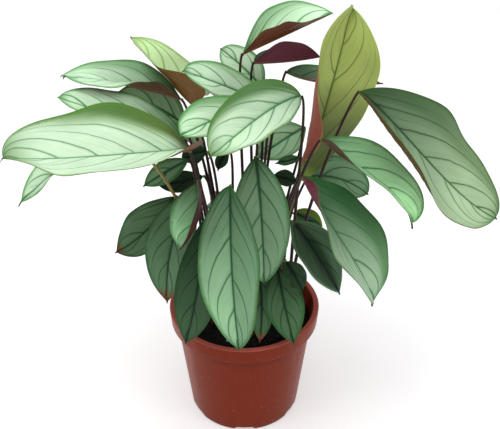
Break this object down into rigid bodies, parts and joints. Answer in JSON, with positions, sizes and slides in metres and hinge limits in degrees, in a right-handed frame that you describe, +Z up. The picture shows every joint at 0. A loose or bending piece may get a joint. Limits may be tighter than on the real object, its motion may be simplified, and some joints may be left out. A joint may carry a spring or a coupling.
{
  "type": "potted foliage plant",
  "caption": "Bushy leafy houseplant with broad silver-green blades on thin dark stalks, growing from soil in a tapered plastic nursery pot.",
  "frame": {"origin": "middle of the pot's underside", "axes": "+Z up; -Y towards the side the plant is seen from; +X to that viewer's right"},
  "size_m": [0.4617, 0.3255, 0.4663],
  "materials": {
    "pot": "satin terracotta-coloured moulded plastic",
    "soil": "damp dark peat compost",
    "stalk": "satin, dark brown to olive",
    "blade": "satin leaf, silver green above and purple brown below",
    "young_blade": "satin young leaf, yellow green"
  },
  "bodies": {
    "root": {"pot": "pot", "soil": "soil", "stalks_left_upper": "stalk", "stalks_left_behind": "stalk", "stalks_left_great": "stalk", "stalks_inner_left": "stalk", "stalks_left_low": "stalk", "stalks_front_left": "stalk", "stalks_front_great": "stalk", "stalks_top_high": "stalk", "stalks_top_turned": "stalk", "stalks_back": "stalk", "stalks_centre": "stalk", "stalks_young_upright": "stalk", "stalks_right_great": "stalk", "stalks_front_right": "stalk", "stalks_low_right": "stalk", "stalks_low_front": "stalk", "stalks_inner_right": "stalk", "stalks_left_hanging": "stalk", "blade_left_great": "blade", "blade_left_behind": "blade", "blade_left_upper": "blade", "blade_left_young": "young_blade", "blade_top_grey": "blade", "blade_centre_under": "blade", "blade_centre_pale": "blade", "blade_top_high": "blade", "blade_top_turned": "blade", "blade_back_small": "blade", "blade_young_upright": "young_blade", "blade_back_slim": "blade", "blade_right_great": "blade", "blade_right_mid": "blade", "blade_front_right": "blade", "blade_right_inner": "blade", "blade_low_right": "blade", "blade_low_right_small": "blade", "blade_low_twisted": "blade", "blade_low_front": "blade", "blade_front_great": "blade", "blade_front_centre": "blade", "blade_front_under": "blade", "blade_left_low": "blade", "blade_left_outer": "blade", "blade_left_front": "blade", "blade_left_grey": "blade", "blade_left_dark": "blade", "blade_left_hanging": "blade", "blade_back_inner": "blade", "blade_inner_small": "blade", "blade_inner_dark": "blade", "blade_left_back": "blade", "blade_inner_shade": "blade", "blade_inner_slim": "blade", "blade_front_shade": "blade", "blade_back_left": "blade", "blade_back_right": "blade", "blade_back_middle": "blade", "blade_back_low": "blade"}
  },
  "joints": []
}
